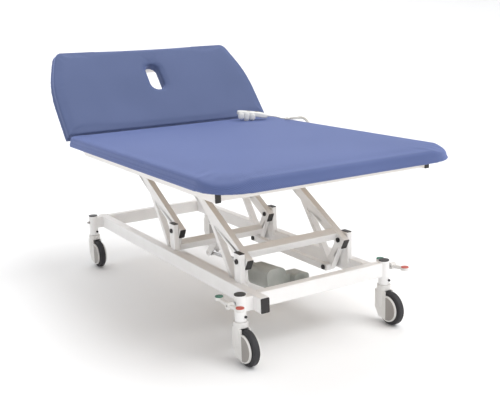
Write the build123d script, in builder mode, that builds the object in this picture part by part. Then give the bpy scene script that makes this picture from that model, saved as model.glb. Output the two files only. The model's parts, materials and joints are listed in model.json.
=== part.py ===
"""Two-section electric treatment table: wide padded top on a parallelogram lift with castors.

Units are millimetres. The foot of the table is at -Y, its head at +Y, its right side at +X,
and the floor at z = 0. The head section is modelled raised, as the table usually stands.
"""
import os
from math import cos, pi, radians, sin, tan

from build123d import *

# ---------------------------------------------------------------- driving dimensions
half_length = 953.0            # the cushion's foot edge and the rear rail caps reach this far
top_width = 1190.0
cushion_bottom = 747.0
cushion_top = 805.0
cushion_round = 18.0
foot_corner_radius = 160.0

rail_size = (42.0, 65.0)       # base tubes, width and height
rail_top = 278.0
rail_outer_x = 323.0
rail_wall = 3.0
rail_front_y = -781.0
cap_thickness = 3.0
rail_rear_y = half_length - cap_thickness
front_tube_y = -700.0
castor_x = 372.0
castor_front_y = -707.0
castor_rear_y = 911.0

castor_tube_radius = 24.15
castor_tube_bottom = 176.0
castor_tube_top = 284.0
stem_radius = 21.0
spigot_radius = 10.0
wheel_radius = 75.0
wheel_width = 30.0
rim_radius = 54.0
trail = 47.0                   # the wheel stands this far to the foot side of its swivel
housing_radius = 30.5
cheek = 25.0                   # half the castor housing's width over the wheel
axle_radius = 6.0
running_gap = 0.05

lock_axis_z = 250.0
lock_bar_radius = 6.0
lock_lever = 15.0
pedal_x = 421.0
pad_reach = 82.0

post_inner_x = 268.0
post_size = (25.0, 50.0)
post_top = 401.0
post_skirt = 26.0              # the post's inner wall runs this far down the rail's side
pivot_front_y = -557.0
pivot_spacing = 611.0
pivot_rear_y = pivot_front_y + pivot_spacing
pivot_z = 368.0

arm_angle = 28.8               # degrees above level, as the table stands
arm_length = 600.0
arm_size = (30.0, 50.0)
arm_inner_x = 236.0
arm_tail = 32.0
lever_length = 160.0
lever_depth = 38.0
brace_size = 25.0
brace_reach = 345.0
pin_radius = 8.0
crank_tube_side = 40.0
crank_tube_bore = 34.0
front_tube_reach = 41.0        # along the arm, from its lower pivot
rear_tube_reach = 104.0        # down the lever, from the pivot
rod_size = (25.0, 30.0)

plate = 5.0                    # welded lugs and brackets
bracket_plates = (-21.5, 21.5)
actuator_pin_radius = 6.0
actuator_base = (-628.0, 235.0)            # base pin and rod end, in the side view
actuator_tip = (204.0, 173.0)
outer_tube_start = 118.0       # distances along the actuator, from its base pin
outer_tube_end = 430.0
ram_start = 330.0
outer_tube_radius = 17.0
ram_radius = 11.5
gearbox_size = (76.0, 74.0)
gearbox_span = (22.0, 95.0)    # start and length along the actuator
motor_offset = (-105.0, -26.0)             # beside the actuator and above it
motor_size = (96.0, 92.0)
motor_span = (58.0, 160.0)

top_rail_size = (25.0, 50.0)
top_rail_outer_x = 525.0
top_rail_front_y = -816.0
top_rail_rear_y = 534.0
top_tube_width = 40.0
top_front_tube_y = -778.0

hinge_y = 572.0
hinge_z = 782.0
half_gap = 8.0                 # cushion edge to hinge axis, each side
head_angle = 50.0
head_length = 540.0            # along the section, from the hinge axis
head_corner_radius = 60.0
head_shoulder = 170.0          # the sides start to draw in this far from the hinge axis
head_top_half_width = 538.0
nose_slot = (72.0, 166.0)
nose_slot_centre = 335.0

board = 14.0
frame_skin = 0.4               # soft parts and frames stay this far apart
head_rail_height = 35.0
head_frame_x = 380.0
strut_foot = (514.0, 662.0)    # lower strut pin, in the side view
strut_reach = 225.0            # upper strut pin, from the hinge axis along the section
strut_hang = 20.0              # the upper pin hangs this far under the head frame
strut_lug_x = 14.0
strut_pin_radius = 4.0
strut_radii = (11.0, 5.0)      # cylinder and rod

handset_size = (168.0, 62.0, 26.0)
handset_centre = (378.0, 376.0, 841.0)
handset_heading = -25.0
handset_tilt = 7.0
button_spots = ((-22, 0), (22, 0))
button_radius = 11.0
hook_places = ((-74.0, 0.6), (-43.0, 1.0), (-12.0, 0.6))     # place along, share of the drop
hook_width = 22.0
cord_diameter = 5.0
coil_diameter = 16.0
relief_length = 24.0
gland_foot = (512.5, 200.0, 684.0)

arm_centre_x = arm_inner_x + arm_size[0] / 2
rail_inner_x = rail_outer_x - rail_size[0]
rail_centre_x = rail_outer_x - rail_size[0] / 2
rail_centre_z = rail_top - rail_size[1] / 2
arm_up = (cos(radians(arm_angle)), sin(radians(arm_angle)))
arm_down = (arm_up[1], -arm_up[0])         # the lever hangs square to the arm
top_pivot_z = pivot_z + arm_length * arm_up[1]
top_pivot_front_y = pivot_front_y + arm_length * arm_up[0]
top_pivot_rear_y = pivot_rear_y + arm_length * arm_up[0]

os.makedirs("parts", exist_ok=True)


def save(part, name):
    part.label = name
    export_step(part, f"parts/{name}.step")
    print(f"{name:24s} volume {part.volume / 1000:9.1f} cm3")


def side_plane(x, y=0.0, z=0.0):
    """Plane seen from the right: local X is the table's +Y, local Y is up, facing +X."""
    return Plane(origin=(x, y, z), x_dir=(0, 1, 0), z_dir=(1, 0, 0))


def across(x, y, z):
    """Plane for bars along X, starting at x."""
    return Plane(origin=(x, y, z), x_dir=(0, 1, 0), z_dir=(1, 0, 0))


def along(x, y, z):
    """Plane for tubes along Y, starting at y: local X is +X, local Y is down."""
    return Plane(origin=(x, y, z), x_dir=(1, 0, 0), z_dir=(0, 1, 0))


# ---------------------------------------------------------------- base frame
def base_rail(side, y_front):
    """Side rail with the castor tubes and stubs that are welded to its outer face."""
    length = rail_rear_y - y_front
    castor_ys = [castor_rear_y] if side > 0 else [castor_front_y, castor_rear_y]
    with BuildPart() as rail:
        with BuildSketch(along(side * rail_centre_x, y_front, rail_centre_z)):
            RectangleRounded(*rail_size, radius=5)
        extrude(amount=length)
        for y in castor_ys:
            stub = castor_x - rail_outer_x
            with BuildSketch(across(side * (rail_outer_x + stub / 2) - stub / 2, y, rail_centre_z)):
                RectangleRounded(rail_size[0], rail_size[1] - 5, radius=4)
            extrude(amount=stub)
            with BuildSketch(Plane.XY.offset(castor_tube_bottom)):
                with Locations((side * castor_x, y)):
                    Circle(castor_tube_radius)
            extrude(amount=castor_tube_top - castor_tube_bottom)
        with BuildSketch(along(side * rail_centre_x, y_front, rail_centre_z)):
            RectangleRounded(rail_size[0] - 2 * rail_wall, rail_size[1] - 2 * rail_wall, radius=2.5)
        extrude(amount=length, mode=Mode.SUBTRACT)
        for y in castor_ys:
            with BuildSketch(Plane.XY.offset(castor_tube_bottom)):
                with Locations((side * castor_x, y)):
                    Circle(stem_radius)
            extrude(amount=castor_tube_top - castor_tube_bottom, mode=Mode.SUBTRACT)
            bore_start = side * castor_x - 100
            with BuildSketch(across(bore_start, y, lock_axis_z)):
                Circle(lock_bar_radius + 2.5)
            extrude(amount=200, mode=Mode.SUBTRACT)
    return rail.part


def base_front_tube():
    """Front cross tube, from the left rail to the right castor tube, with the actuator's bracket."""
    length = castor_x + rail_inner_x
    wall = 2 * rail_wall
    with BuildPart() as tube:
        with BuildSketch(across(-rail_inner_x, front_tube_y, rail_centre_z)):
            RectangleRounded(*rail_size, radius=5)
        extrude(amount=length)
        with BuildSketch(Plane.XY.offset(castor_tube_bottom)):
            with Locations((castor_x, castor_front_y)):
                Circle(castor_tube_radius)
        extrude(amount=castor_tube_top - castor_tube_bottom)
        with BuildSketch(across(-rail_inner_x, front_tube_y, rail_centre_z)):
            RectangleRounded(rail_size[0] - wall, rail_size[1] - wall, radius=2.5)
        extrude(amount=length, mode=Mode.SUBTRACT)
        with BuildSketch(Plane.XY.offset(castor_tube_bottom)):
            with Locations((castor_x, castor_front_y)):
                Circle(stem_radius)
        extrude(amount=castor_tube_top - castor_tube_bottom, mode=Mode.SUBTRACT)
        with BuildSketch(across(castor_x - 60, castor_front_y, lock_axis_z)):
            Circle(lock_bar_radius + 2.5)
        extrude(amount=120, mode=Mode.SUBTRACT)
        for x in bracket_plates:
            with BuildSketch(side_plane(x - plate / 2)):
                with BuildLine():
                    Polyline(*actuator_lug, close=True)
                make_face()
            extrude(amount=plate)
        with BuildSketch(across(-24, *actuator_base)):
            Circle(actuator_pin_radius)
        extrude(amount=48)
    return tube.part


tube_back = front_tube_y + rail_size[0] / 2 - 0.5
actuator_lug = [(tube_back, 218), (tube_back, 270), (-632, 252), (-614, 245), (-612, 228), (-630, 218)]

base_rail_left = base_rail(-1, rail_front_y)
base_rail_right = base_rail(1, front_tube_y + rail_size[0] / 2)
save(base_rail_left, "base_rail_left")
save(base_rail_right, "base_rail_right")
save(base_front_tube(), "base_front_tube")

with BuildPart() as base_rear_tube:
    with BuildSketch(across(-rail_inner_x, castor_rear_y, rail_centre_z)):
        RectangleRounded(*rail_size, radius=5)
        RectangleRounded(rail_size[0] - 6, rail_size[1] - 6, radius=2.5, mode=Mode.SUBTRACT)
    extrude(amount=2 * rail_inner_x)
save(base_rear_tube.part, "base_rear_tube")


def posts(side):
    """The two posts of one side, notched over the rail's inner edge."""
    inner = side * post_inner_x
    with BuildPart() as pair:
        for y in (pivot_front_y, pivot_rear_y):
            with BuildSketch(Plane.XY.offset(rail_top)):
                with Locations((inner + side * post_size[0] / 2, y)):
                    RectangleRounded(*post_size, radius=3)
            extrude(amount=post_top - rail_top)
            skirt = rail_inner_x - post_inner_x
            with BuildSketch(Plane.XY.offset(rail_top - post_skirt)):
                with Locations((inner + side * skirt / 2, y)):
                    Rectangle(skirt, post_size[1] - 4)
            extrude(amount=post_skirt)
            with BuildSketch(across(side * (post_inner_x + post_size[0] / 2) - 20, y, pivot_z)):
                Circle(pin_radius)
            extrude(amount=40, mode=Mode.SUBTRACT)
    return pair.part


save(posts(-1), "lift_posts_left")
save(posts(1), "lift_posts_right")

with BuildPart() as base_caps:
    for x, y, facing in (
        (-rail_centre_x, rail_front_y, -1),
        (-rail_centre_x, rail_rear_y, 1),
        (rail_centre_x, rail_rear_y, 1),
    ):
        with BuildSketch(along(x, y, rail_centre_z)):
            RectangleRounded(rail_size[0] - 3, rail_size[1] - 3, radius=4)
        extrude(amount=facing * cap_thickness)
    for side in (-1, 1):
        for y in (pivot_front_y, pivot_rear_y):
            with BuildSketch(Plane.XY.offset(post_top)):
                with Locations((side * (post_inner_x + post_size[0] / 2), y)):
                    RectangleRounded(post_size[0] - 1, post_size[1] - 1, radius=3)
            extrude(amount=cap_thickness)
        for y in (castor_front_y, castor_rear_y):
            with BuildSketch(Plane.XY.offset(castor_tube_top)):
                with Locations((side * castor_x, y)):
                    Circle(castor_tube_radius - 0.5)
            extrude(amount=cap_thickness + 1)
save(base_caps.part, "base_caps")

with BuildPart() as castor_stems:
    for x in (-castor_x, castor_x):
        for y in (castor_front_y, castor_rear_y):
            with BuildSketch(Plane.XY.offset(castor_tube_bottom)):
                with Locations((x, y)):
                    Circle(stem_radius - 0.3)
            extrude(amount=castor_tube_top - castor_tube_bottom - 2)
            with BuildSketch(Plane.XY.offset(castor_tube_bottom - 20)):
                with Locations((x, y)):
                    Circle(spigot_radius)
            extrude(amount=20)
            with BuildSketch(across(x - 40, y, lock_axis_z)):
                Circle(lock_bar_radius + 2.5)
            extrude(amount=80, mode=Mode.SUBTRACT)
save(castor_stems.part, "castor_stems")


# pivot bolts right through each post and crank arm, and one short bolt in each castor tube
bolt_heads = []
with BuildPart() as frame_bolts:
    for side in (-1, 1):
        for y in (pivot_front_y, pivot_rear_y):
            inner = arm_inner_x - 1.0
            outer = post_inner_x + post_size[0]
            with BuildSketch(across(inner if side > 0 else -outer, y, pivot_z)):
                Circle(pin_radius - running_gap)
            extrude(amount=outer - inner)
            bolt_heads.append(((side * outer, y, pivot_z), (side, 0, 0), 11.0))
            bolt_heads.append(((side * inner, y, pivot_z), (-side, 0, 0), 11.0))
        for y in (castor_front_y, castor_rear_y):
            surface = castor_tube_radius - 1.0
            head = (side * castor_x + 8, y - surface, castor_tube_bottom + 20)
            bolt_heads.append((head, (0.3, -1, 0), 5.5))
    for centre, direction, radius in bolt_heads:
        with BuildSketch(Plane(origin=centre, z_dir=direction)):
            Circle(radius)
            RegularPolygon(radius * 0.45, 6, mode=Mode.SUBTRACT)
        extrude(amount=6)
        with BuildSketch(Plane(origin=centre, z_dir=direction)):
            Circle(radius - 1)
        extrude(amount=2.5)
save(frame_bolts.part, "frame_bolts")


# ---------------------------------------------------------------- castors
def castor(x, y):
    """Swivelling housing with its axle, wheel and tyre, standing at one corner."""
    wheel_y = y - trail
    wheel_plane = across(x, wheel_y, wheel_radius)
    with BuildPart() as housing:
        with BuildSketch(Plane.XY.offset(wheel_radius)):
            with Locations((x, y)):
                Circle(housing_radius)
        extrude(amount=castor_tube_bottom - 1 - wheel_radius)
        with BuildSketch(wheel_plane):
            Circle(rim_radius + 4)
        extrude(amount=cheek, both=True)
        with BuildSketch(wheel_plane):
            with BuildLine():
                Polyline((trail + housing_radius, wheel_radius), (trail - 34, wheel_radius),
                         (trail - 34, -52), (trail + 4, -48), (trail + housing_radius, -8), close=True)
            make_face()
        extrude(amount=cheek, both=True)
        with BuildSketch(wheel_plane):
            Circle(wheel_radius + 4)
        extrude(amount=wheel_width / 2 + 2.5, both=True, mode=Mode.SUBTRACT)
        with BuildSketch(wheel_plane):
            Circle(axle_radius - running_gap)
        extrude(amount=cheek, both=True)
        with BuildSketch(Plane.XY.offset(castor_tube_bottom - 21)):
            with Locations((x, y)):
                Circle(spigot_radius + running_gap)
        extrude(amount=30, mode=Mode.SUBTRACT)
    with BuildPart() as wheel:
        with BuildSketch(wheel_plane):
            Circle(rim_radius)
            Circle(axle_radius, mode=Mode.SUBTRACT)
        extrude(amount=wheel_width / 2 - 1, both=True)
    with BuildPart() as tyre:
        with BuildSketch(wheel_plane):
            Circle(wheel_radius)
            Circle(rim_radius, mode=Mode.SUBTRACT)
        extrude(amount=wheel_width / 2, both=True)
        fillet(tyre.edges().filter_by(GeomType.CIRCLE).sort_by(SortBy.RADIUS)[-2:], radius=8)
    return housing.part, wheel.part, tyre.part


for corner, x, y in (
    ("front_left", -castor_x, castor_front_y),
    ("front_right", castor_x, castor_front_y),
    ("rear_left", -castor_x, castor_rear_y),
    ("rear_right", castor_x, castor_rear_y),
):
    housing, wheel, tyre = castor(x, y)
    save(housing, f"castor_housing_{corner}")
    save(wheel, f"castor_wheel_{corner}")
    save(tyre, f"castor_tyre_{corner}")


# ---------------------------------------------------------------- central brake
def lock_bar(name, y, half_length):
    """Hexagon bar through a pair of castor tubes, with the lever that the push rod hooks on to."""
    with BuildPart() as bar:
        with BuildSketch(across(-half_length, y, lock_axis_z)):
            RegularPolygon(lock_bar_radius, 6)
        extrude(amount=2 * half_length)
        with BuildSketch(across(-rail_centre_x - 6, y, lock_axis_z)):
            with BuildLine():
                Polyline((-8, 8), (8, 8), (4, -lock_lever - 4), (-4, -lock_lever - 4), close=True)
            make_face()
        extrude(amount=5)
        with BuildSketch(across(-rail_centre_x - 1, y, lock_axis_z - lock_lever)):
            Circle(3)
        extrude(amount=7)
    save(bar.part, name)


lock_bar("lock_bar_front", castor_front_y, pedal_x + 6)
lock_bar("lock_bar_rear", castor_rear_y, castor_x + 36)

with BuildPart() as lock_push_rod:
    rod_z = lock_axis_z - lock_lever
    with BuildSketch(across(-rail_centre_x + 1, (castor_front_y + castor_rear_y) / 2, rod_z)):
        Rectangle(castor_rear_y - castor_front_y + 26, 16)
        with Locations(((castor_front_y - castor_rear_y) / 2, 0), ((castor_rear_y - castor_front_y) / 2, 0)):
            Rectangle(7, 9, mode=Mode.SUBTRACT)
    extrude(amount=4)
save(lock_push_rod.part, "lock_push_rod")

with BuildPart() as lock_pedals:
    for side in (-1, 1):
        with BuildSketch(across(side * pedal_x - 13, castor_front_y, lock_axis_z)):
            Circle(15)
            RegularPolygon(lock_bar_radius, 6, mode=Mode.SUBTRACT)
        extrude(amount=26)
        for way in (-1, 1):
            with BuildSketch(across(side * pedal_x - 8, castor_front_y, lock_axis_z)):
                with BuildLine():
                    Polyline((way * 13, -7), (way * 13, 7), (way * (pad_reach - 14), 12),
                             (way * (pad_reach - 14), 1), close=True)
                make_face()
            extrude(amount=16)
            with BuildSketch(Plane.XY.offset(lock_axis_z + 1)):
                with Locations((side * pedal_x, castor_front_y + way * pad_reach)):
                    Circle(18)
            extrude(amount=12)
save(lock_pedals.part, "lock_pedals")

for colour, way in (("green", 1), ("red", -1)):
    with BuildPart() as pads:
        with BuildSketch(Plane.XY.offset(lock_axis_z + 13)):
            with Locations(*[(side * pedal_x, castor_front_y + way * pad_reach) for side in (-1, 1)]):
                Circle(16.5)
        extrude(amount=3)
    save(pads.part, f"lock_pads_{colour}")


# ---------------------------------------------------------------- lifting cranks
def on_arm(pivot_y, reach, offset=0.0):
    """Point in the side view, reach along the arm and offset down the lever's direction."""
    y = pivot_y + arm_up[0] * reach + arm_down[0] * offset
    return (y, pivot_z + arm_up[1] * reach + arm_down[1] * offset)


def bar_between(start, end, depth):
    """Corners of a straight bar in the side view."""
    run = Vector(*end) - Vector(*start)
    across_bar = Vector(-run.Y, run.X).normalized() * (depth / 2)
    corners = (start, across_bar), (end, across_bar), (end, -across_bar), (start, -across_bar)
    return [(point[0] + way.X, point[1] + way.Y) for point, way in corners]


def crank(side, pivot_y):
    """Arm, square lever and brace, welded into one triangulated crank."""
    start_x = arm_inner_x if side > 0 else -arm_inner_x - arm_size[0]
    knee = on_arm(pivot_y, brace_reach)
    foot = on_arm(pivot_y, 0, lever_length - 4)
    with BuildPart() as weldment:
        with BuildSketch(side_plane(start_x)):
            with BuildLine():
                Polyline(*bar_between(on_arm(pivot_y, -arm_tail), on_arm(pivot_y, arm_length), arm_size[1]),
                         close=True)
            make_face()
            with Locations(on_arm(pivot_y, arm_length)):
                Circle(arm_size[1] / 2)
            with BuildLine():
                Polyline(*bar_between((pivot_y, pivot_z), on_arm(pivot_y, 0, lever_length), lever_depth),
                         close=True)
            make_face()
            with Locations(on_arm(pivot_y, 0, lever_length)):
                Circle(lever_depth / 2)
            with BuildLine():
                Polyline(*bar_between(knee, foot, brace_size), close=True)
            make_face()
            with Locations((pivot_y, pivot_z), on_arm(pivot_y, arm_length), on_arm(pivot_y, 0, lever_length)):
                Circle(pin_radius, mode=Mode.SUBTRACT)
        extrude(amount=arm_size[0])
    return weldment.part


for end, pivot_y in (("front", pivot_front_y), ("rear", pivot_rear_y)):
    for hand, side in (("left", -1), ("right", 1)):
        save(crank(side, pivot_y), f"{end}_crank_{hand}")
    with BuildPart() as caps:
        centre = on_arm(pivot_y, -arm_tail)
        tilt = Plane(origin=(0, *centre), x_dir=(1, 0, 0), z_dir=(0, -arm_up[0], -arm_up[1]))
        with BuildSketch(tilt):
            with Locations((-arm_centre_x, 0), (arm_centre_x, 0)):
                RectangleRounded(arm_size[0] - 1, arm_size[1] - 1, radius=3)
        extrude(amount=cap_thickness)
    save(caps.part, f"{end}_crank_caps")

with BuildPart() as front_crank_tube:
    centre = on_arm(pivot_front_y, front_tube_reach)
    with BuildSketch(across(-arm_inner_x, *centre)):
        RectangleRounded(crank_tube_side, crank_tube_side, radius=4, rotation=arm_angle)
        RectangleRounded(crank_tube_bore, crank_tube_bore, radius=2, rotation=arm_angle,
                         mode=Mode.SUBTRACT)
    extrude(amount=2 * arm_inner_x)
save(front_crank_tube.part, "front_crank_tube")

with BuildPart() as rear_crank_tube:
    centre = on_arm(pivot_rear_y, 0, rear_tube_reach)
    with BuildSketch(across(-arm_inner_x, *centre)):
        RectangleRounded(crank_tube_side, crank_tube_side, radius=4, rotation=arm_angle)
        RectangleRounded(crank_tube_bore, crank_tube_bore, radius=2, rotation=arm_angle,
                         mode=Mode.SUBTRACT)
    extrude(amount=2 * arm_inner_x)
    tip = actuator_tip
    for x in bracket_plates:
        with BuildSketch(side_plane(x - plate / 2)):
            with BuildLine():
                Polyline((centre[0] - 12, centre[1] - 16), (centre[0] + 18, centre[1] + 6),
                         (tip[0] + 14, tip[1] + 10), (tip[0] + 12, tip[1] - 14), (tip[0] - 12, tip[1] - 14),
                         close=True)
            make_face()
        extrude(amount=plate)
        with BuildSketch(across(x - 4, centre[0], centre[1])):
            RectangleRounded(crank_tube_side - 6, crank_tube_side - 6, radius=2, rotation=arm_angle)
        extrude(amount=8, mode=Mode.SUBTRACT)
    for start in (bracket_plates[0] - plate / 2 - 6, bracket_plates[1] + plate / 2):
        with BuildSketch(across(start, *tip)):
            RegularPolygon(actuator_pin_radius + 4, 6)
        extrude(amount=6)
save(rear_crank_tube.part, "rear_crank_tube")

lever_foot_front = on_arm(pivot_front_y, 0, lever_length)
lever_foot_rear = on_arm(pivot_rear_y, 0, lever_length)
rod_outer_x = arm_inner_x - 2.0
with BuildPart() as connecting_rods:
    for side in (-1, 1):
        with BuildSketch(across(rod_outer_x - rod_size[0] if side > 0 else -rod_outer_x, *lever_foot_front)):
            with Locations((pivot_spacing / 2, 0)):
                RectangleRounded(pivot_spacing + 44, rod_size[1], radius=4)
            with Locations((0, 0), (pivot_spacing, 0)):
                Circle(pin_radius, mode=Mode.SUBTRACT)
        extrude(amount=rod_size[0])
save(connecting_rods.part, "connecting_rods")

with BuildPart() as rod_bolts:
    for side in (-1, 1):
        inner = rod_outer_x - rod_size[0] - 1
        outer = arm_inner_x + arm_size[0] + 1
        for centre in (lever_foot_front, lever_foot_rear):
            with BuildSketch(across(inner if side > 0 else -outer, *centre)):
                Circle(pin_radius - running_gap)
            extrude(amount=outer - inner)
            for x in (inner - 6, outer):
                with BuildSketch(across(x if side > 0 else -x - 6, *centre)):
                    RegularPolygon(12, 6)
                extrude(amount=6)
save(rod_bolts.part, "rod_bolts")


# ---------------------------------------------------------------- actuator
actuator_run = Vector(actuator_tip[0] - actuator_base[0], actuator_tip[1] - actuator_base[1])
actuator_length = actuator_run.length


def actuator_plane(distance):
    """Plane across the actuator's axis, at a distance from its base pin."""
    point = Vector(actuator_base[0], actuator_base[1]) + actuator_run.normalized() * distance
    return Plane(origin=(0, point.X, point.Y), x_dir=(1, 0, 0), z_dir=(0, actuator_run.X, actuator_run.Y))


with BuildPart() as actuator_tube:
    with BuildSketch(actuator_plane(outer_tube_start)):
        Circle(outer_tube_radius)
        Circle(ram_radius + running_gap, mode=Mode.SUBTRACT)
    extrude(amount=outer_tube_end - outer_tube_start)
save(actuator_tube.part, "actuator_tube")

with BuildPart() as actuator_housing:
    with BuildSketch(actuator_plane(gearbox_span[0])):
        RectangleRounded(*gearbox_size, radius=14)
    extrude(amount=gearbox_span[1])
    with BuildSketch(actuator_plane(motor_span[0])):
        with Locations(motor_offset):
            RectangleRounded(*motor_size, radius=28)
    extrude(amount=motor_span[1])
    with BuildSketch(actuator_plane(motor_span[0])):
        with Locations((motor_offset[0] / 2, motor_offset[1] / 2)):
            Rectangle(-motor_offset[0], gearbox_size[1] - 26)
    extrude(amount=gearbox_span[0] + gearbox_span[1] - motor_span[0] - 6)
    with BuildSketch(actuator_plane(outer_tube_start - 20)):
        Circle(outer_tube_radius + 7)
    extrude(amount=50)
    with BuildSketch(actuator_plane(outer_tube_start)):
        Circle(outer_tube_radius + 0.2)
    extrude(amount=60, mode=Mode.SUBTRACT)
    with BuildSketch(across(-16, *actuator_base)):
        Circle(15)
    extrude(amount=32)
    with BuildSketch(actuator_plane(0)):
        Rectangle(32, 30)
    extrude(amount=30)
    with BuildSketch(across(-20, *actuator_base)):
        Circle(actuator_pin_radius + running_gap)
    extrude(amount=40, mode=Mode.SUBTRACT)
save(actuator_housing.part, "actuator_housing")

with BuildPart() as actuator_rod:
    with BuildSketch(actuator_plane(ram_start)):
        Circle(ram_radius)
    extrude(amount=actuator_length - ram_start - 20)
    with BuildSketch(actuator_plane(actuator_length - 24)):
        Rectangle(26, 26)
    extrude(amount=38)
    with BuildSketch(across(-20, *actuator_tip)):
        Circle(actuator_pin_radius + running_gap)
    extrude(amount=40, mode=Mode.SUBTRACT)
save(actuator_rod.part, "actuator_rod")


# ---------------------------------------------------------------- top frame
top_rail_centre_x = top_rail_outer_x - top_rail_size[0] / 2
top_rail_inner_x = top_rail_outer_x - top_rail_size[0]
top_tube_z = cushion_bottom - top_rail_size[1] / 2
top_rail_length = top_rail_rear_y - top_rail_front_y
hinge_plate_x = top_rail_centre_x

for hand, side in (("left", -1), ("right", 1)):
    with BuildPart() as top_rail:
        with BuildSketch(along(side * top_rail_centre_x, top_rail_front_y, top_tube_z)):
            RectangleRounded(*top_rail_size, radius=3)
        extrude(amount=top_rail_length)
        with BuildSketch(side_plane(side * hinge_plate_x - plate / 2)):
            with BuildLine():
                Polyline((top_rail_rear_y - 20, 704), (hinge_y + 6, 704), (hinge_y + 6, hinge_z),
                         (hinge_y - 6, hinge_z), (hinge_y - 6, 743), (top_rail_rear_y - 20, 743), close=True)
            make_face()
            with Locations((hinge_y, hinge_z)):
                Circle(6)
        extrude(amount=plate)
        with BuildSketch(across(side * hinge_plate_x - 12, hinge_y, hinge_z)):
            Circle(3)
        extrude(amount=24)
    save(top_rail.part, f"top_rail_{hand}")

lug_offsets = (arm_inner_x - 6 - plate, arm_inner_x + arm_size[0] + 6)
with BuildPart() as top_cross_tubes:
    for y in (top_front_tube_y, top_pivot_front_y, top_rail_rear_y - top_tube_width / 2):
        with BuildSketch(across(-top_rail_inner_x, y, top_tube_z)):
            RectangleRounded(top_tube_width, top_rail_size[1], radius=3)
        extrude(amount=2 * top_rail_inner_x)
    for pivot_y, root_y in ((top_pivot_front_y, top_pivot_front_y), (top_pivot_rear_y, top_rail_rear_y - 20)):
        for side in (-1, 1):
            for offset in lug_offsets:
                start = offset if side > 0 else -offset - plate
                with BuildSketch(side_plane(start)):
                    with BuildLine():
                        Polyline((root_y - 19, 699), (root_y + 19, 699), (pivot_y + 22, 690),
                                 (pivot_y + 22, top_pivot_z), (pivot_y - 22, top_pivot_z), close=True)
                    make_face()
                    with Locations((pivot_y, top_pivot_z)):
                        Circle(22)
                extrude(amount=plate)
            outer = lug_offsets[1] + plate
            inner = lug_offsets[0]
            with BuildSketch(across(inner if side > 0 else -outer, pivot_y, top_pivot_z)):
                Circle(pin_radius - running_gap)
            extrude(amount=outer - inner)
    for x in (-strut_lug_x, strut_lug_x):
        with BuildSketch(side_plane(x - plate / 2)):
            with Locations((strut_foot[0], strut_foot[1] + 14)):
                Rectangle(22, 46)
        extrude(amount=plate)
    with BuildSketch(across(-strut_lug_x - 2, *strut_foot)):
        Circle(strut_pin_radius)
    extrude(amount=2 * strut_lug_x + 4)
save(top_cross_tubes.part, "top_cross_tubes")

with BuildPart() as top_caps:
    for side in (-1, 1):
        with BuildSketch(along(side * top_rail_centre_x, top_rail_front_y, top_tube_z)):
            RectangleRounded(top_rail_size[0] - 1, top_rail_size[1] - 1, radius=3)
        extrude(amount=-cap_thickness)
save(top_caps.part, "top_caps")

foot_y = -half_length
main_rear_y = hinge_y - half_gap
with BuildPart() as main_board:
    with BuildSketch(Plane.XY.offset(cushion_bottom + frame_skin)):
        with Locations((0, (foot_y + main_rear_y) / 2)):
            Rectangle(top_width - 24, main_rear_y - foot_y - 24)
    extrude(amount=board)
    fillet(main_board.edges().filter_by(Axis.Z).group_by(Axis.Y)[0], radius=foot_corner_radius - 12)
save(main_board.part, "main_board")

with BuildPart() as main_cushion:
    with BuildSketch(Plane.XY.offset(cushion_bottom + frame_skin)):
        with Locations((0, (foot_y + main_rear_y) / 2)):
            Rectangle(top_width, main_rear_y - foot_y)
    extrude(amount=cushion_top - cushion_bottom - frame_skin)
    fillet(main_cushion.edges().filter_by(Axis.Z).group_by(Axis.Y)[0], radius=foot_corner_radius)
    fillet(main_cushion.edges().filter_by(Axis.Z).group_by(Axis.Y)[-1], radius=14)
    fillet(main_cushion.faces().sort_by(Axis.Z)[-1].edges(), radius=cushion_round)
    add(main_board.part, mode=Mode.SUBTRACT)
save(main_cushion.part, "main_cushion")


# ---------------------------------------------------------------- head section
# Drawn flat about the hinge axis, then turned up: local X across, local Y along the section.
head_lift = Plane(origin=(0, hinge_y, hinge_z), x_dir=(1, 0, 0),
                  z_dir=(0, -sin(radians(head_angle)), cos(radians(head_angle))))
pad_top = cushion_top - hinge_z
pad_bottom = cushion_bottom + frame_skin - hinge_z


def head_outline(inset):
    """Half-tapered outline: straight at the hinge, drawing in towards a slightly hollow top edge."""
    half = top_width / 2 - inset
    top_half = head_top_half_width - inset
    end = head_length - inset
    with BuildSketch(mode=Mode.PRIVATE) as outline:
        with BuildLine():
            Polyline((-half, head_shoulder), (-half, half_gap + inset), (half, half_gap + inset),
                     (half, head_shoulder))
            Spline((half, head_shoulder), (half - (half - top_half) * 0.3, (head_shoulder + end) / 2),
                   (top_half, end - head_corner_radius), tangents=[(0, 1), (-0.35, 1)])
            Spline((-half, head_shoulder), (-half + (half - top_half) * 0.3, (head_shoulder + end) / 2),
                   (-top_half, end - head_corner_radius), tangents=[(0, 1), (0.35, 1)])
            shoulder = top_half - head_corner_radius
            Spline((top_half, end - head_corner_radius), (shoulder, end), tangents=[(-0.35, 1), (-1, 0)])
            Spline((-top_half, end - head_corner_radius), (-shoulder, end), tangents=[(0.35, 1), (1, 0)])
            Spline((-shoulder, end), (0, end - 8), (shoulder, end), tangents=[(1, 0), (1, 0)])
        make_face()
        with Locations((0, nose_slot_centre)):
            SlotOverall(nose_slot[1] + 2 * inset, nose_slot[0] + 2 * inset, rotation=90, mode=Mode.SUBTRACT)
    return outline.sketch


with BuildPart() as head_board:
    with BuildSketch(head_lift.offset(pad_bottom)):
        add(head_outline(10.0))
    extrude(amount=board)
save(head_board.part, "head_board")

with BuildPart() as head_cushion:
    with BuildSketch(head_lift.offset(pad_bottom)):
        add(head_outline(0.0))
    extrude(amount=pad_top - pad_bottom)
    crown = head_cushion.faces().sort_by(Axis(head_lift.origin, head_lift.z_dir))[-1]
    fillet(crown.edges(), radius=cushion_round - 4)
    add(head_board.part, mode=Mode.SUBTRACT)
save(head_cushion.part, "head_cushion")

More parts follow.
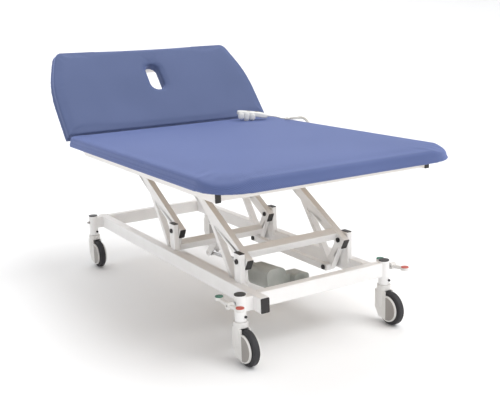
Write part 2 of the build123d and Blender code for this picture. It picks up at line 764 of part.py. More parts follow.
head_rail_bottom = pad_bottom - frame_skin - head_rail_height
strut_drop = head_rail_bottom - strut_hang
with BuildPart() as head_frame:
    with BuildSketch(head_lift.offset(head_rail_bottom)):
        with Locations((-head_frame_x, 235), (head_frame_x, 235)):
            Rectangle(25, 420)
        with Locations((0, strut_reach), (0, 437)):
            Rectangle(2 * head_frame_x, 25)
        with Locations((-446, 37.5), (446, 37.5)):
            Rectangle(132, 25)
    extrude(amount=head_rail_height)
    for side in (-1, 1):
        start = side * strut_lug_x - plate / 2
        lug_origin = head_lift.from_local_coords((start, 0, 0))
        with BuildSketch(Plane(origin=lug_origin, x_dir=head_lift.y_dir, z_dir=(1, 0, 0))):
            with Locations((strut_reach, head_rail_bottom - 12)):
                Rectangle(24, 34)
        extrude(amount=plate)
        pin_start = side * (strut_lug_x + plate / 2 + 1.5) - 1.5
        pin_origin = head_lift.from_local_coords((pin_start, 0, 0))
        with BuildSketch(Plane(origin=pin_origin, x_dir=head_lift.y_dir, z_dir=(1, 0, 0))):
            with Locations((strut_reach, strut_drop)):
                RegularPolygon(strut_pin_radius + 2, 6)
        extrude(amount=3)
    for side in (-1, 1):
        start = side * (hinge_plate_x - 6.5) - plate / 2
        plate_origin = head_lift.from_local_coords((start, 0, 0))
        with BuildSketch(Plane(origin=plate_origin, x_dir=head_lift.y_dir, z_dir=(1, 0, 0))):
            with BuildLine():
                Polyline((-6, 0), (-6, head_rail_bottom), (45, head_rail_bottom),
                         (45, head_rail_bottom + head_rail_height), (6, head_rail_bottom + head_rail_height),
                         (6, 0), close=True)
            make_face()
            Circle(6)
            Circle(3 + running_gap, mode=Mode.SUBTRACT)
        extrude(amount=plate)
save(head_frame.part, "head_frame")


# ---------------------------------------------------------------- gas strut under the head section
strut_top = head_lift.from_local_coords((0, strut_reach, strut_drop))
strut_run = Vector(strut_top.Y - strut_foot[0], strut_top.Z - strut_foot[1])
strut_length = strut_run.length


def strut_plane(distance):
    point = Vector(*strut_foot) + strut_run.normalized() * distance
    return Plane(origin=(0, point.X, point.Y), x_dir=(1, 0, 0), z_dir=(0, strut_run.X, strut_run.Y))


with BuildPart() as strut_cylinder:
    with BuildSketch(strut_plane(14)):
        Circle(strut_radii[0])
    extrude(amount=180)
    with BuildSketch(strut_plane(90)):
        Circle(strut_radii[1] + running_gap)
    extrude(amount=110, mode=Mode.SUBTRACT)
    with BuildSketch(across(-7, *strut_foot)):
        Circle(11)
    extrude(amount=14)
    with BuildSketch(strut_plane(5)):
        Rectangle(14, 16)
    extrude(amount=14)
    with BuildSketch(across(-8, *strut_foot)):
        Circle(strut_pin_radius + running_gap)
    extrude(amount=16, mode=Mode.SUBTRACT)
save(strut_cylinder.part, "strut_cylinder")

with BuildPart() as strut_rod:
    with BuildSketch(strut_plane(165)):
        Circle(strut_radii[1])
    extrude(amount=strut_length - 165 - 14)
    with BuildSketch(strut_plane(strut_length - 20)):
        Rectangle(14, 16)
    extrude(amount=30)
    with BuildSketch(across(-10, strut_top.Y, strut_top.Z)):
        Circle(strut_pin_radius + running_gap)
    extrude(amount=20, mode=Mode.SUBTRACT)
save(strut_rod.part, "strut_rod")


# ---------------------------------------------------------------- handset and its curly cord
heading = Vector(cos(radians(handset_heading)), sin(radians(handset_heading)), 0)
upright = Vector(0, 0, 1)
level_part = cos(radians(handset_tilt))
tilted_part = sin(radians(handset_tilt))
handset_lie = Plane(
    origin=handset_centre,
    x_dir=heading * level_part - upright * tilted_part,
    z_dir=heading * tilted_part + upright * level_part,
)
with BuildPart() as handset_body:
    with BuildSketch(handset_lie.offset(-handset_size[2] / 2)):
        RectangleRounded(handset_size[0], handset_size[1], radius=20)
    extrude(amount=handset_size[2])
    with BuildSketch(handset_lie.offset(handset_size[2] / 2 - 5)):
        with Locations(*button_spots):
            Circle(button_radius + 0.4)
    extrude(amount=6, mode=Mode.SUBTRACT)
save(handset_body.part, "handset_body")

for number, spot in enumerate(button_spots, start=1):
    with BuildPart() as button:
        with BuildSketch(handset_lie.offset(handset_size[2] / 2 - 3)):
            with Locations(spot):
                Circle(button_radius)
        extrude(amount=5)
    save(button.part, f"handset_button_{number}")


def hook_drop(x):
    """How far below the handset's back the cushion lies, at a place along the handset."""
    height = handset_lie.from_local_coords((x, 0, -handset_size[2] / 2)).Z
    return -(height - cushion_top - 1.0) / cos(radians(handset_tilt)) + 1.5


# hooks under the handset's front edge: it stands on the deepest one
with BuildPart() as handset_hooks:
    for x, share in hook_places:
        hook_plane = Plane(origin=handset_lie.from_local_coords((x, 0, -handset_size[2] / 2)),
                           x_dir=handset_lie.y_dir, z_dir=handset_lie.x_dir)
        with BuildSketch(hook_plane):
            with BuildLine():
                drop = hook_drop(x + hook_width / 2) * share
                Polyline((-20, -0.1), (-28, -0.1), (-28, drop), (6, drop), (6, drop + 7), (-20, drop + 7),
                         close=True)
            make_face()
        extrude(amount=hook_width)
save(handset_hooks.part, "handset_hooks")

relief_start = handset_lie.from_local_coords((handset_size[0] / 2, 0, -4))
lead_start = relief_start + handset_lie.x_dir * relief_length
with BuildPart() as strain_relief:
    with BuildSketch(Plane(origin=relief_start, z_dir=handset_lie.x_dir)):
        Circle(6.5)
    with BuildSketch(Plane(origin=lead_start, z_dir=handset_lie.x_dir)):
        Circle(3.6)
    loft()
save(strain_relief.part, "strain_relief")


def cord_path(points, diameter):
    """Straight runs joined by arcs as large as the runs allow, and the radii used."""
    radii = []
    for before, corner, after in zip(points, points[1:], points[2:]):
        run_in = Vector(*corner) - Vector(*before)
        run_out = Vector(*after) - Vector(*corner)
        half_turn = radians(run_in.get_angle(run_out) / 2)
        radii.append(0.45 * min(run_in.length, run_out.length) / tan(half_turn))
    print("radii in diameters", [round(radius / diameter, 1) for radius in radii])
    return radii


lead_points = [
    tuple(lead_start),
    tuple(lead_start + handset_lie.x_dir * 14),
    (500.0, 315.5, 818.0),
    (507.5, 300.0, 813.5),
    (509.5, 282.0, 812.0),
    (508.0, 264.0, 813.8),
]
lead_radii = cord_path(lead_points, cord_diameter)
with BuildPart() as handset_lead:
    with BuildLine() as lead_line:
        FilletPolyline(*lead_points, radius=lead_radii)
    with BuildSketch(Plane(origin=lead_points[0], z_dir=lead_line.line % 0)):
        Circle(cord_diameter / 2)
    sweep()
save(handset_lead.part, "handset_lead")

coil_points = [
    (508.0, 264.0, 813.8),
    (521.0, 240.0, 815.0),
    (543.0, 225.0, 814.4),
    (566.0, 219.0, 815.6),
    (589.0, 216.5, 816.5),
    (614.0, 214.5, 806.0),
    (634.0, 212.5, 782.0),
    (642.0, 210.5, 749.0),
    (643.0, 208.5, 712.0),
    (640.0, 206.5, 676.0),
    (631.4, 205.0, 644.0),
    (608.0, 204.0, 620.6),
    (576.0, 203.0, 612.0),
    (544.0, 202.0, 620.6),
    (520.6, 201.0, 644.0),
    (512.8, 200.5, 664.0),
    (512.5, 200.0, 684.0),
]
coil_radii = cord_path(coil_points, coil_diameter)
with BuildPart() as handset_coil:
    with BuildLine() as coil_line:
        FilletPolyline(*coil_points, radius=coil_radii)
    with BuildSketch(Plane(origin=coil_points[0], z_dir=coil_line.line % 0)):
        Circle(coil_diameter / 2)
    sweep()
save(handset_coil.part, "handset_coil")

# each tube's volume against its section times its length shows that the sweep is sound
for name, part, line, diameter in (
    ("lead", handset_lead.part, lead_line, cord_diameter),
    ("coil", handset_coil.part, coil_line, coil_diameter),
):
    length = sum(edge.length for edge in line.edges())
    ratio = part.volume / (length * pi * (diameter / 2) ** 2)
    print(f"{name} length {length:.1f} mm, volume over section times length {ratio:.4f}")

with BuildPart() as cord_gland:
    with BuildSketch(Plane.XY.offset(gland_foot[2])):
        with Locations(gland_foot[:2]):
            Circle(10)
    extrude(amount=top_tube_z - top_rail_size[1] / 2 - gland_foot[2])
save(cord_gland.part, "cord_gland")
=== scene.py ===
"""Looks of a two-section electric treatment table: upholstery, paint, plastics and cord.

Metres throughout, in the CAD model's frame: foot at -Y, head at +Y, floor at z = 0.
"""
import json
from math import acos, atan2, ceil, copysign, cos, hypot, pi, radians, sin, tau

import bmesh
import bpy
from mathutils import Matrix, Vector


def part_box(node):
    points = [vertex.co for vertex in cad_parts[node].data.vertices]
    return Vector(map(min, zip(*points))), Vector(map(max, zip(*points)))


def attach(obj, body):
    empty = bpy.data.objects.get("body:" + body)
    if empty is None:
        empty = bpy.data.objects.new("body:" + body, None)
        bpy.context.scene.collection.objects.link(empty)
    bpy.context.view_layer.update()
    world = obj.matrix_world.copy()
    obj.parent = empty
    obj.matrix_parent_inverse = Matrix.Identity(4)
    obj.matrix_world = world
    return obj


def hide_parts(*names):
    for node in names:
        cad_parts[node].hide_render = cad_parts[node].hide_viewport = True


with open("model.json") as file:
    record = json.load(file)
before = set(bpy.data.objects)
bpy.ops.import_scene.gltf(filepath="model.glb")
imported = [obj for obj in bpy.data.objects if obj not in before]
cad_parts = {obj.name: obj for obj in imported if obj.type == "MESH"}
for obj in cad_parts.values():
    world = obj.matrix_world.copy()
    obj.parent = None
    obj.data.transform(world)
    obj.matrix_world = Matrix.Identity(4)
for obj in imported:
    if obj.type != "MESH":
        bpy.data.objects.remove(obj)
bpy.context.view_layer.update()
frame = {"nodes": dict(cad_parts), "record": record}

corners = ("front_left", "front_right", "rear_left", "rear_right")
nodes = frame["nodes"]
body_of = {node: body for body, members in frame["record"]["behaviour"]["bodies"].items() for node in members}
slot_of = {row["node"]: row["material_slot"] for row in frame["record"]["subparts"]}
joint_places = {joint["name"]: Vector(joint["pos_m"])
                for joint in frame["record"]["behaviour"]["joints"] if "pos_m" in joint}

# ---------------------------------------------------------------- sizes and places
camera_place = (-1.867, -3.279, 1.357)
camera_azimuth = radians(31.18)
camera_elevation = radians(13.16)
camera_roll = radians(-1.89)
camera_lens = 57.14                        # on a 36 mm sensor

head_angle = radians(50)
weave_pitch = 0.0045
weave_turn = radians(-40)                  # the two threads cross on top and on the foot edge
weave_leans = (radians(34), radians(146))
foot_corner_radius = 0.160
corner_drop = 0.024                        # how far the cover is pressed down at the foot corners

handset_size = (0.168, 0.062, 0.026)
handset_centre = Vector((0.378, 0.376, 0.841))
handset_heading = radians(-25)
handset_tilt = radians(7)
relief_length = 0.024

wire_diameter = 0.005
coil_diameter = 0.016
coil_pitch = 0.0078                        # along the route, between one turn and the next
points_per_turn = 12

knuckle_places = ((-0.063, 0.019), (-0.032, 0.022), (-0.001, 0.019))    # along the handset, and half height
knuckle_half_length = 0.0160
knuckle_half_width = 0.012
knuckle_inset = 0.008                      # from the handset's front edge to a knuckle's middle
knuckle_flatness = 0.68                    # 1 makes a round lump, less a flatter one
arrow_places = ((1, -0.022, -1), (2, 0.022, 1))    # button, place along the handset, way it points
arrow_corners = ((-0.0035, 0.0045), (-0.0035, -0.0045), (0.0045, 0.0))
arrow_foot = 0.0018                        # heights of an arrow above the handset's face
arrow_top = 0.0026

cheek = 0.025                              # half the castor housing's width over the wheel
cover_radius = 0.052
cover_thickness = 0.0012
cover_edge = 0.005                         # the covers start this far to the head side of the axle
cover_steps = 40

held_height = 0.016                        # the upholstery is fixed this far up from its underside
held_fade = 0.01                           # and is fully free this much higher
cloth_frames = 20

floor_radius = 11.0                        # the floor turns up into a wall past this
floor_bend = 3.5

# ---------------------------------------------------------------- camera and light
view_turn = (Matrix.Rotation(-camera_azimuth, 4, "Z") @ Matrix.Rotation(pi / 2 - camera_elevation, 4, "X")
             @ Matrix.Rotation(camera_roll, 4, "Z"))
camera = bpy.data.objects.new("camera", bpy.data.cameras.new("camera"))
bpy.context.collection.objects.link(camera)
camera.matrix_world = Matrix.Translation(camera_place) @ view_turn
camera.data.lens = camera_lens
camera.data.sensor_width = 36
bpy.context.scene.camera = camera
bpy.context.scene.view_settings.view_transform = "Standard"

world = bpy.data.worlds.new("studio")
world.use_nodes = True
world.node_tree.nodes["Background"].inputs["Color"].default_value = (0.97, 0.98, 1.0, 1)
world.node_tree.nodes["Background"].inputs["Strength"].default_value = 0.55
bpy.context.scene.world = world


def sun(name, towards, strength, softness):
    """Soft distant light that comes from the given direction."""
    light = bpy.data.objects.new(name, bpy.data.lights.new(name, "SUN"))
    bpy.context.collection.objects.link(light)
    light.rotation_euler = Vector(towards).to_track_quat("Z", "Y").to_euler()
    light.data.energy = strength
    light.data.angle = radians(softness)


sun("key_light", (0.36, -0.40, 0.84), 1.9, 45)
sun("back_light", (0.15, 0.60, 0.78), 1.0, 60)
sun("low_fill", (0.10, -0.93, 0.36), 0.5, 60)


# ---------------------------------------------------------------- materials
def new_material(name):
    """Empty material with its shader, and the object's own coordinates as a texture space."""
    material = bpy.data.materials.new(name)
    material.use_nodes = True
    shader = material.node_tree.nodes["Principled BSDF"]
    place = material.node_tree.nodes.new("ShaderNodeTexCoord")
    return material, shader, place.outputs["Object"]


def wire(material, kind, inputs=None, **settings):
    """New node with its settings, its linked inputs and its constants."""
    node = material.node_tree.nodes.new(kind)
    for name, value in settings.items():
        setattr(node, name, value)
    for key, value in (inputs or {}).items():
        if isinstance(value, bpy.types.NodeSocket):
            material.node_tree.links.new(value, node.inputs[key])
        else:
            node.inputs[key].default_value = value
    return node


def two_tones(material, factor, dark, light):
    """Colour that runs from dark to light with the factor."""
    ramp = wire(material, "ShaderNodeValToRGB", {"Fac": factor})
    ramp.color_ramp.elements[0].color = (*dark, 1)
    ramp.color_ramp.elements[1].color = (*light, 1)
    ramp.color_ramp.elements[0].position = 0.25
    ramp.color_ramp.elements[1].position = 0.75
    return ramp.outputs["Color"]


def finish_shader(material, shader, colour, roughness, normal):
    links = material.node_tree.links
    links.new(colour, shader.inputs["Base Color"])
    links.new(roughness, shader.inputs["Roughness"])
    links.new(normal, shader.inputs["Normal"])
    return material


def moulded(name, dark, light, rough, grain, depth, patch=9.0, metallic=0.0, coat=0.0, specular=0.5):
    """Plastic, paint, rubber or metal: uneven tone and gloss, with a fine grain."""
    material, shader, place = new_material(name)
    shader.inputs["Metallic"].default_value = metallic
    shader.inputs["Coat Weight"].default_value = coat
    shader.inputs["Specular IOR Level"].default_value = specular
    patches = wire(material, "ShaderNodeTexNoise", {"Vector": place, "Scale": patch, "Detail": 5.0})
    grains = wire(material, "ShaderNodeTexNoise", {"Vector": place, "Scale": grain, "Detail": 2.0})
    gloss = wire(material, "ShaderNodeMapRange",
                 {"Value": patches.outputs["Fac"], "To Min": rough - 0.07, "To Max": rough + 0.07})
    bump = wire(material, "ShaderNodeBump",
                {"Height": grains.outputs["Fac"], "Distance": depth, "Strength": 0.6})
    return finish_shader(material, shader, two_tones(material, patches.outputs["Fac"], dark, light),
                         gloss.outputs["Result"], bump.outputs["Normal"])


def brushed(name, dark, light, rough, along):
    """Drawn steel with fine lines along one direction, given as stretches of the pattern."""
    material, shader, place = new_material(name)
    shader.inputs["Metallic"].default_value = 1.0
    stretch = wire(material, "ShaderNodeMapping", {"Vector": place, "Scale": along})
    lines = wire(material, "ShaderNodeTexNoise",
                 {"Vector": stretch.outputs["Vector"], "Scale": 6.0, "Detail": 6.0})
    gloss = wire(material, "ShaderNodeMapRange",
                 {"Value": lines.outputs["Fac"], "To Min": rough - 0.08, "To Max": rough + 0.1})
    bump = wire(material, "ShaderNodeBump",
                {"Height": lines.outputs["Fac"], "Distance": 0.0001, "Strength": 0.4})
    return finish_shader(material, shader, two_tones(material, lines.outputs["Fac"], dark, light),
                         gloss.outputs["Result"], bump.outputs["Normal"])


def plywood(name):
    """Sealed birch: long grain along Y with a slow wander."""
    material, shader, place = new_material(name)
    stretch = wire(material, "ShaderNodeMapping", {"Vector": place, "Scale": (14.0, 0.8, 14.0)})
    rings = wire(material, "ShaderNodeTexNoise",
                 {"Vector": stretch.outputs["Vector"], "Scale": 3.0, "Detail": 8.0, "Distortion": 1.2})
    gloss = wire(material, "ShaderNodeMapRange",
                 {"Value": rings.outputs["Fac"], "To Min": 0.45, "To Max": 0.65})
    bump = wire(material, "ShaderNodeBump",
                {"Height": rings.outputs["Fac"], "Distance": 0.0003, "Strength": 0.5})
    return finish_shader(material, shader,
                         two_tones(material, rings.outputs["Fac"], (0.30, 0.20, 0.11), (0.52, 0.38, 0.24)),
                         gloss.outputs["Result"], bump.outputs["Normal"])


def woven_vinyl(name, turn, dark, light):
    """Coated upholstery with a fine cross weave, laid in a plane turned about X."""
    material, shader, place = new_material(name)
    shader.inputs["Specular IOR Level"].default_value = 0.25
    shader.inputs["Sheen Weight"].default_value = 0.6
    shader.inputs["Sheen Roughness"].default_value = 0.4
    shader.inputs["Sheen Tint"].default_value = (0.42, 0.52, 1.0, 1)
    threads = []
    for lean in weave_leans:
        lie = wire(material, "ShaderNodeMapping", {"Vector": place, "Rotation": (turn, lean, weave_turn)})
        band = wire(material, "ShaderNodeTexWave",
                    {"Vector": lie.outputs["Vector"], "Scale": tau / (20 * weave_pitch),
                     "Distortion": 0.25, "Detail": 1.0, "Detail Scale": 2.0},
                    wave_type="BANDS", bands_direction="X")
        threads.append(band.outputs["Fac"])
    crossing = wire(material, "ShaderNodeMath", {0: threads[0], 1: threads[1]}, operation="MULTIPLY")
    patches = wire(material, "ShaderNodeTexNoise", {"Vector": place, "Scale": 2.2, "Detail": 4.0})
    tone = wire(material, "ShaderNodeMath", {0: crossing.outputs[0], 1: 0.60, 2: 0.0},
                operation="MULTIPLY_ADD")
    mixed = wire(material, "ShaderNodeMath", {0: patches.outputs["Fac"], 1: 0.65, 2: tone.outputs[0]},
                 operation="MULTIPLY_ADD")
    gloss = wire(material, "ShaderNodeMapRange",
                 {"Value": crossing.outputs[0], "To Min": 0.62, "To Max": 0.48})
    pores = wire(material, "ShaderNodeTexNoise", {"Vector": place, "Scale": 700.0, "Detail": 2.0})
    pored = wire(material, "ShaderNodeMath", {0: pores.outputs["Fac"], 1: 0.3, 2: crossing.outputs[0]},
                 operation="MULTIPLY_ADD")
    bump = wire(material, "ShaderNodeBump", {"Height": pored.outputs[0], "Distance": 0.0006, "Strength": 0.8})
    return finish_shader(material, shader, two_tones(material, mixed.outputs[0], dark, light),
                         gloss.outputs["Result"], bump.outputs["Normal"])


paints = {
    "white_paint": moulded("white_powder_coat", (0.86, 0.845, 0.83), (0.91, 0.90, 0.89),
                           0.38, 900, 0.00012),
    "black_plastic": moulded("black_cap_plastic", (0.010, 0.009, 0.009), (0.022, 0.02, 0.02),
                             0.42, 700, 0.0001),
    "castor_grey": moulded("castor_housing_plastic", (0.72, 0.705, 0.68), (0.79, 0.775, 0.75),
                           0.40, 650, 0.0001),
    "wheel_grey": moulded("wheel_disc_plastic", (0.29, 0.27, 0.25), (0.36, 0.335, 0.315),
                          0.45, 650, 0.0001),
    "tyre_grey": moulded("tyre_rubber", (0.020, 0.019, 0.022), (0.036, 0.034, 0.038),
                         0.68, 420, 0.00025, patch=25),
    "zinc_steel": brushed("zinc_plated_steel", (0.42, 0.42, 0.43), (0.62, 0.62, 0.62),
                          0.38, (2, 40, 40)),
    "bolt_black": moulded("black_oxide_steel", (0.018, 0.017, 0.017), (0.045, 0.043, 0.043),
                          0.36, 500, 0.0001, patch=60, metallic=0.6),
    "pad_green": moulded("green_pad_plastic", (0.0, 0.125, 0.07), (0.003, 0.19, 0.115),
                         0.35, 600, 0.0001, coat=0.2),
    "pad_red": moulded("red_pad_plastic", (0.50, 0.055, 0.028), (0.62, 0.085, 0.05),
                       0.35, 600, 0.0001, coat=0.2),
    "actuator_grey": moulded("actuator_plastic", (0.30, 0.315, 0.29), (0.50, 0.51, 0.48),
                             0.48, 500, 0.00015),
    "ram_steel": brushed("polished_steel", (0.5, 0.5, 0.51), (0.7, 0.7, 0.7), 0.25, (40, 2, 2)),
    "plywood": plywood("birch_plywood"),
    "handset_white": moulded("handset_plastic", (0.76, 0.745, 0.70), (0.83, 0.815, 0.78),
                             0.36, 600, 0.0001, coat=0.1),
    "cord_cream": moulded("cream_cord_sheath", (0.70, 0.665, 0.58), (0.78, 0.75, 0.67),
                          0.45, 300, 0.0001, patch=40),
    "blue_upholstery": woven_vinyl("woven_vinyl_main", 0.0,
                                   (0.070, 0.098, 0.225), (0.112, 0.148, 0.315)),
}
# Same vinyl as the main cushion, with its weave turned with the head. Its colours are a little darker and
# less blue than the main's, as painted shade for the head's dimmer light.
head_vinyl_painted_shade = woven_vinyl("woven_vinyl_head_painted_shade", -head_angle,
                         (0.070, 0.096, 0.195), (0.110, 0.142, 0.275))

for row in frame["record"]["subparts"]:
    piece = nodes[row["node"]]
    piece.data.materials.clear()
    piece.data.materials.append(paints[row["material_slot"]])


# ---------------------------------------------------------------- mesh helpers
def finished_mesh(name, shape):
    """Mesh data from a finished shape, which is let go."""
    mesh_data = bpy.data.meshes.new(name)
    shape.to_mesh(mesh_data)
    shape.free()
    return mesh_data


def bridge(shape, near, far):
    """Band of faces between two rings of the same number of corners."""
    for step in range(len(near)):
        after = (step + 1) % len(near)
        shape.faces.new((near[step], near[after], far[after], far[step]))


def place_mesh(name, mesh_data, body, slot, material=None):
    """New visible piece that rides on a body."""
    piece = bpy.data.objects.new(name, mesh_data)
    bpy.context.collection.objects.link(piece)
    piece.data.materials.clear()
    piece.data.materials.append(material or paints[slot])
    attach(piece, body)
    return piece


def evaluated(piece):
    """The piece's mesh with its modifiers, as new mesh data."""
    graph = bpy.context.evaluated_depsgraph_get()
    return bpy.data.meshes.new_from_object(piece.evaluated_get(graph))


def smooth(mesh_data):
    mesh_data.polygons.foreach_set("use_smooth", [True] * len(mesh_data.polygons))
    mesh_data.update()


def soften(node, width, segments=2):
    """Stands in for a hard-edged CAD piece with rounded edges, as welded tube and moulded plastic have."""
    piece = place_mesh(f"{node}_rounded", nodes[node].data.copy(), body_of[node], slot_of[node])
    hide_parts(node)
    weld = piece.modifiers.new("weld", "WELD")
    weld.merge_threshold = 0.00002
    bevel = piece.modifiers.new("rounded_edges", "BEVEL")
    bevel.width = width
    bevel.segments = segments
    bevel.limit_method = "ANGLE"
    bevel.angle_limit = radians(50)
    bevel.harden_normals = True


for corner in corners:
    end, hand = corner.split("_")
    soften(f"{end}_crank_{hand}", 0.0025)
    soften(f"castor_housing_{corner}", 0.004, 3)
soften("lock_pedals", 0.003, 3)
soften("actuator_housing", 0.012, 5)
soften("handset_hooks", 0.0033, 3)


# ---------------------------------------------------------------- castor covers
def castor_cover(corner):
    """Grey covers over the foot half of a castor's two cheeks, which show beside its white fairing."""
    swivel = joint_places[f"swivel_{corner}"]
    axle = joint_places[f"roll_{corner}"]
    covers = bmesh.new()
    start = acos(-cover_edge / cover_radius)
    turns = [start * (1 - 2 * step / cover_steps) for step in range(cover_steps + 1)]
    rim = [(axle.y - cover_radius * cos(turn), axle.z + cover_radius * sin(turn)) for turn in turns]
    for side in (-1, 1):
        inner = [covers.verts.new((swivel.x + side * cheek, y, z)) for y, z in rim]
        outer = [covers.verts.new((swivel.x + side * (cheek + cover_thickness), y, z)) for y, z in rim]
        covers.faces.new(inner)
        covers.faces.new(list(reversed(outer)))
        bridge(covers, inner, outer)
    bmesh.ops.recalc_face_normals(covers, faces=covers.faces)
    name = f"castor_cover_{corner}"
    place_mesh(name, finished_mesh(name, covers), f"swivel_{corner}", "wheel_grey")


for corner in corners:
    castor_cover(corner)


# ---------------------------------------------------------------- upholstery
def upholster(node, body, name, material, up, voxel, shrink, cap):
    """Padded piece grown from a CAD cushion: remeshed, drawn in, then blown up as cloth over its board."""
    piece = place_mesh(name, nodes[node].data.copy(), body, "blue_upholstery", material)
    shell = bmesh.new()
    shell.from_mesh(piece.data)
    bmesh.ops.remove_doubles(shell, verts=shell.verts, dist=0.00005)
    shell.to_mesh(piece.data)
    shell.free()
    remesh = piece.modifiers.new("skin", "REMESH")
    remesh.mode = "VOXEL"
    remesh.voxel_size = voxel
    skin = evaluated(piece)
    piece.modifiers.clear()
    piece.data = skin
    heights = [vertex.co.dot(up) for vertex in skin.vertices]
    held_to = min(heights) + held_height
    start = []
    held = piece.vertex_groups.new(name="held")
    for vertex, height in zip(skin.vertices, heights):
        free = min(1.0, max(0.0, (height - held_to) / held_fade))
        start.append(vertex.co - vertex.normal * shrink * free)
        if free == 0:
            held.add([vertex.index], 1.0, "ADD")
    for vertex, place in zip(skin.vertices, start):
        vertex.co = place
    cloth = piece.modifiers.new("cloth", "CLOTH")
    cloth.settings.quality = 4
    cloth.settings.mass = 0.3
    cloth.settings.use_pressure = True
    cloth.settings.uniform_pressure_force = 4.0
    cloth.settings.effector_weights.gravity = 0.0
    cloth.settings.vertex_group_mass = "held"
    cloth.settings.pin_stiffness = 1.0
    cloth.point_cache.frame_start = 1
    cloth.point_cache.frame_end = cloth_frames
    for step in range(1, cloth_frames + 1):
        bpy.context.scene.frame_set(step)
    blown = evaluated(piece)
    piece.modifiers.clear()
    for vertex, place, grown in zip(piece.data.vertices, start, blown.vertices):
        move = grown.co - place
        if move.length > cap:
            move *= cap / move.length
        vertex.co = place + move
    bpy.context.scene.frame_set(1)
    smoother = piece.modifiers.new("even", "SMOOTH")
    smoother.factor = 0.5
    smoother.iterations = 3
    skin = evaluated(piece)
    piece.modifiers.clear()
    piece.data = skin
    smooth(skin)
    piece.modifiers.new("finer", "SUBSURF").levels = 1
    piece.modifiers["finer"].render_levels = 1
    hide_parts(node)
    return piece


head_up = Vector((0, -sin(head_angle), cos(head_angle)))
main_pad = upholster("main_cushion", "top", "main_upholstery", paints["blue_upholstery"],
                     Vector((0, 0, 1)), 0.0085, 0.003, 0.0045)
head_pad = upholster("head_cushion", "head", "head_upholstery", head_vinyl_painted_shade, head_up, 0.0065, 0.003, 0.0055)


def thin_corners(piece, node):
    """Foot corners, where the cover is pulled tight round a large radius and presses the foam down."""
    low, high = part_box(node)
    for vertex in piece.data.vertices:
        out = abs(vertex.co.x) - (high[0] - foot_corner_radius)
        foot = low[1] + foot_corner_radius - vertex.co.y
        if out > 0 and foot > 0:
            reach = min(1.0, max(0.0, (hypot(out, foot) / foot_corner_radius - 0.25) / 0.75))
            height = (vertex.co.z - low[2]) / (high[2] - low[2])
            vertex.co.z -= corner_drop * sin(2 * atan2(foot, out)) * reach ** 2 * height
    piece.data.update()


thin_corners(main_pad, "main_cushion")


# ---------------------------------------------------------------- handset
handset_x = Vector((cos(handset_heading) * cos(handset_tilt), sin(handset_heading) * cos(handset_tilt),
                    -sin(handset_tilt)))
handset_z = Vector((cos(handset_heading) * sin(handset_tilt), sin(handset_heading) * sin(handset_tilt),
                    cos(handset_tilt)))
handset_y = handset_z.cross(handset_x)


def handset_point(x, y, z):
    return handset_centre + handset_x * x + handset_y * y + handset_z * z


def lofted(name, sections, around):
    """Closed smooth body through rounded sections: place, half width, half height, roundness, lift."""
    body = bmesh.new()
    rings = []
    for x, half_width, half_height, power, lift in sections:
        ring = []
        for step in range(around):
            turn = tau * step / around
            across, up = cos(turn), sin(turn)
            y = copysign(abs(across) ** power, across) * half_width
            z = copysign(abs(up) ** power, up) * half_height + lift
            ring.append(body.verts.new(handset_point(x, y, z)))
        rings.append(ring)
    for near, far in zip(rings, rings[1:]):
        bridge(body, near, far)
    body.faces.new(list(reversed(rings[0])))
    body.faces.new(rings[-1])
    bmesh.ops.recalc_face_normals(body, faces=body.faces)
    mesh_data = finished_mesh(name, body)
    smooth(mesh_data)
    return mesh_data


half_x, half_y, half_z = (side / 2 for side in handset_size)
handset_sections = [
    (-half_x, half_y * 0.55, half_z * 0.45, 0.7, 0.0),
    (-half_x + 0.003, half_y * 0.82, half_z * 0.8, 0.55, 0.0),
    (-half_x + 0.012, half_y * 0.97, half_z * 0.97, 0.42, 0.0),
    (-half_x * 0.4, half_y, half_z, 0.38, 0.0),
    (half_x * 0.2, half_y * 0.97, half_z, 0.38, 0.0),
    (half_x * 0.55, half_y * 0.84, half_z * 1.15, 0.45, -0.003),
    (half_x * 0.80, half_y * 0.66, half_z * 1.10, 0.6, -0.005),
    (half_x * 0.95, half_y * 0.46, half_z * 0.84, 0.8, -0.006),
    (half_x, half_y * 0.28, half_z * 0.60, 1.0, -0.005),
]
handset = place_mesh("handset_shell", lofted("handset_shell", handset_sections, 40), "top", "handset_white")
handset.modifiers.new("finer", "SUBSURF").levels = 1
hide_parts("handset_body")


def knuckle(name, centre, depth):
    """Rounded lump on the handset's front edge, over one of its hooks."""
    lump = bmesh.new()
    bmesh.ops.create_uvsphere(lump, u_segments=24, v_segments=16, radius=1.0)
    for vertex in lump.verts:
        x, y, z = (copysign(abs(part) ** knuckle_flatness, part) for part in vertex.co)
        vertex.co = handset_point(centre + knuckle_half_length * x,
                                  -half_y + knuckle_inset + knuckle_half_width * y, -half_z + depth * z)
    mesh_data = finished_mesh(name, lump)
    smooth(mesh_data)
    place_mesh(name, mesh_data, "top", "handset_white")


for number, (centre, depth) in enumerate(knuckle_places, start=1):
    knuckle(f"handset_knuckle_{number}", centre, depth)


def arrow(name, centre, way, body):
    """Raised arrowhead on a button's face."""
    sign = bmesh.new()
    outline = [(x * way, y) for x, y in arrow_corners]
    lower = [sign.verts.new(handset_point(centre + x, y, half_z + arrow_foot)) for x, y in outline]
    upper = [sign.verts.new(handset_point(centre + x * 0.8, y * 0.8, half_z + arrow_top)) for x, y in outline]
    sign.faces.new(upper)
    sign.faces.new(list(reversed(lower)))
    bridge(sign, lower, upper)
    bmesh.ops.recalc_face_normals(sign, faces=sign.faces)
    place_mesh(name, finished_mesh(name, sign), body, "black_plastic")


for number, centre, way in arrow_places:
    arrow(f"button_arrow_{number}", centre, way, f"button_{number}")


# ---------------------------------------------------------------- cord
def nurbs(name, points):
    """Open smooth curve of order 3 that ends on its first and last points."""
    curve = bpy.data.curves.new(name, "CURVE")
    curve.dimensions = "3D"
    spline = curve.splines.new("NURBS")
    spline.points.add(len(points) - 1)
    for point, place in zip(spline.points, points):
        point.co = (*place, 1)
    spline.order_u = 3
    spline.use_endpoint_u = True
    return curve


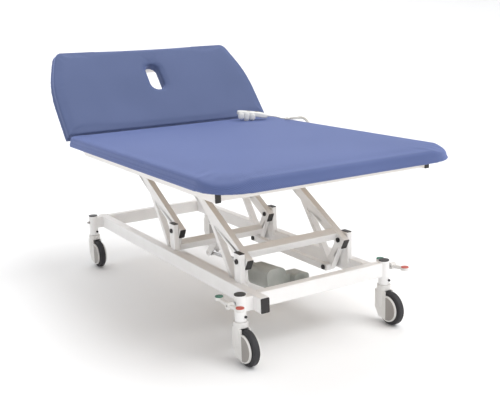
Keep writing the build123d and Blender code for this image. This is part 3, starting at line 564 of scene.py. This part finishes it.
def followed(route):
    """Points along the route's own smooth line."""
    curve = nurbs("route", route)
    curve.resolution_u = 24
    guide = bpy.data.objects.new("route", curve)
    bpy.context.collection.objects.link(guide)
    bpy.context.view_layer.update()
    line = [vertex.co.copy() for vertex in evaluated(guide).vertices]
    bpy.data.objects.remove(guide)
    return line


lead_start = handset_point(half_x + relief_length, 0, -0.004)
lead_route = [
    lead_start,
    lead_start + handset_x * 0.014,
    Vector((0.5000, 0.3155, 0.8180)),
    Vector((0.5075, 0.3000, 0.8135)),
    Vector((0.5095, 0.2820, 0.8120)),
    Vector((0.5080, 0.2640, 0.8138)),
]
coil_route = [Vector(point) for point in (
    (0.5080, 0.2640, 0.8138),
    (0.5210, 0.2400, 0.8150),
    (0.5430, 0.2250, 0.8144),
    (0.5660, 0.2190, 0.8156),
    (0.5890, 0.2165, 0.8165),
    (0.6140, 0.2145, 0.8060),
    (0.6340, 0.2125, 0.7820),
    (0.6420, 0.2105, 0.7490),
    (0.6430, 0.2085, 0.7120),
    (0.6400, 0.2065, 0.6760),
    (0.6314, 0.2050, 0.6440),
    (0.6080, 0.2040, 0.6206),
    (0.5760, 0.2030, 0.6120),
    (0.5440, 0.2020, 0.6206),
    (0.5206, 0.2010, 0.6440),
    (0.5128, 0.2005, 0.6640),
    (0.5125, 0.2000, 0.6840),
)]


def curly(route):
    """Helix round a route, with its turns closing in to the route's line at both ends."""
    line = followed(route)
    reach = [0.0]
    for before, after in zip(line, line[1:]):
        reach.append(reach[-1] + (after - before).length)
    turns = ceil(reach[-1] / coil_pitch)
    radius = (coil_diameter - wire_diameter) / 2
    steps = turns * points_per_turn
    side = (line[1] - line[0]).cross(Vector((0, 0, 1))).normalized()
    helix = []
    index = 0
    for step in range(steps + 1):
        distance = reach[-1] * step / steps
        while index < len(line) - 2 and reach[index + 1] < distance:
            index += 1
        run = line[index + 1] - line[index]
        share = (distance - reach[index]) / (reach[index + 1] - reach[index])
        centre = line[index] + run * share
        ahead = run.normalized()
        side = (side - ahead * side.dot(ahead)).normalized()
        turn = tau * step / points_per_turn
        taper = min(1.0, step / points_per_turn, (steps - step) / points_per_turn)
        swing = side * cos(turn) + ahead.cross(side) * sin(turn)
        helix.append(centre + swing * radius * taper)
    return helix


cord_points = lead_route[:-1] + curly(coil_route)
cord_curve = nurbs("handset_cord", cord_points)
cord_curve.bevel_depth = wire_diameter / 2
cord_curve.bevel_resolution = 2
cord_curve.resolution_u = 2
cord_line = followed(cord_points)
cord = bpy.data.objects.new("handset_cord", cord_curve)
bpy.context.collection.objects.link(cord)
cord_curve.materials.append(paints["cord_cream"])
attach(cord, "top")
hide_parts("handset_lead", "handset_coil")

# ---------------------------------------------------------------- floor
floor_shape = bmesh.new()
profile = [(0.0, 0.0), (floor_radius, 0.0)]
for step in range(1, 13):
    turn = pi / 2 * step / 12
    profile.append((floor_radius + floor_bend * sin(turn), floor_bend * (1 - cos(turn))))
outline = [floor_shape.verts.new((x, 0, z)) for x, z in profile]
edges = [floor_shape.edges.new(pair) for pair in zip(outline, outline[1:])]
bmesh.ops.spin(floor_shape, geom=outline + edges, cent=(0, 0, 0), axis=(0, 0, 1), angle=tau, steps=96)
bmesh.ops.remove_doubles(floor_shape, verts=floor_shape.verts, dist=0.0001)
floor_data = finished_mesh("floor", floor_shape)
smooth(floor_data)
floor = bpy.data.objects.new("floor", floor_data)
bpy.context.collection.objects.link(floor)
floor_data.materials.append(moulded("pale_floor", (0.90, 0.90, 0.90), (0.92, 0.92, 0.92),
                                    0.75, 40, 0.0001, patch=0.4))
